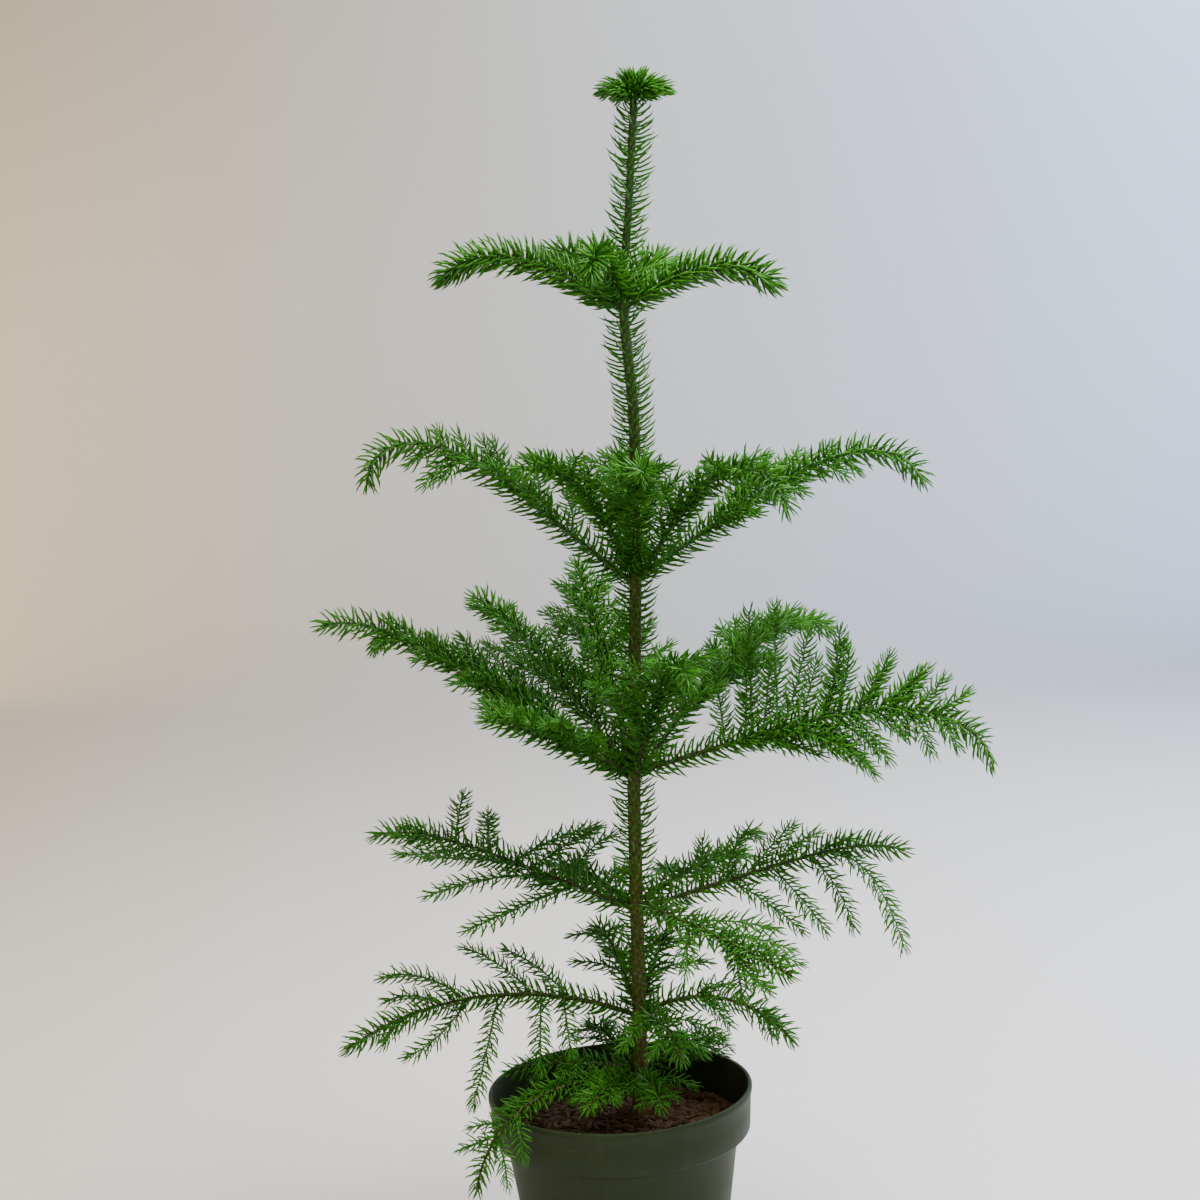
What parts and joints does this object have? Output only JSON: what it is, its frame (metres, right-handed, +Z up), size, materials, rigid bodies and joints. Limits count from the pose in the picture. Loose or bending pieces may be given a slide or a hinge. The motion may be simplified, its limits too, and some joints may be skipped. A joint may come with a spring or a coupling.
{
  "type": "potted norfolk island pine",
  "caption": "Young indoor conifer in a round plastic nursery pot: a slim upright trunk with spaced tiers of arching boughs, soft needle foliage and a flat crown tuft.",
  "frame": {"origin": "centre of the pot's flat underside, at floor level", "axes": "+Z up along the trunk, -Y towards the plant's front, +X to its right as seen from the front"},
  "size_m": [0.4165, 0.3257, 0.767],
  "materials": {
    "pot_plastic": "satin moulded grey-green plastic, slightly scuffed",
    "soil": "moist peat and bark mix, matte",
    "bark": "young bark, brownish green, fine grained",
    "needles": "fresh green needles, waxy, lighter at the growing tips"
  },
  "bodies": {
    "root": {"crown_tuft": "needles", "pot": "pot_plastic", "soil": "soil", "tier_1_foliage_1": "needles", "tier_2_foliage_1": "needles", "tier_2_foliage_2": "needles", "tier_2_foliage_3": "needles", "tier_2_foliage_4": "needles", "tier_2_foliage_5": "needles", "tier_3_bough_1": "bark", "tier_3_bough_3": "bark", "tier_3_foliage_1": "needles", "tier_3_foliage_2": "needles", "tier_3_foliage_3": "needles", "tier_3_foliage_4": "needles", "tier_3_foliage_5": "needles", "tier_4_bough_1": "bark", "tier_4_bough_2": "bark", "tier_4_bough_3": "bark", "tier_4_bough_4": "bark", "tier_4_bough_5": "bark", "tier_4_foliage_1": "needles", "tier_4_foliage_2": "needles", "tier_4_foliage_3": "needles", "tier_4_foliage_4": "needles", "tier_4_foliage_5": "needles", "tier_5_bough_1": "bark", "tier_5_bough_2": "bark", "tier_5_bough_3": "bark", "tier_5_bough_4": "bark", "tier_5_bough_5": "bark", "tier_5_bough_6": "bark", "tier_5_bough_7": "bark", "tier_5_foliage_1": "needles", "tier_5_foliage_2": "needles", "tier_5_foliage_3": "needles", "tier_5_foliage_4": "needles", "tier_5_foliage_5": "needles", "tier_5_foliage_6": "needles", "tier_5_foliage_7": "needles", "tier_6_bough_1": "bark", "tier_6_bough_2": "bark", "tier_6_bough_3": "bark", "tier_6_bough_4": "bark", "tier_6_bough_5": "bark", "tier_6_bough_6": "bark", "tier_6_foliage_1": "needles", "tier_6_foliage_2": "needles", "tier_6_foliage_3": "needles", "tier_6_foliage_4": "needles", "tier_6_foliage_5": "needles", "tier_6_foliage_6": "needles", "tier_7_foliage_1": "needles", "tier_7_foliage_2": "needles", "tier_7_foliage_3": "needles", "tier_7_foliage_4": "needles", "tier_7_foliage_5": "needles", "trunk": "bark"}
  },
  "joints": []
}
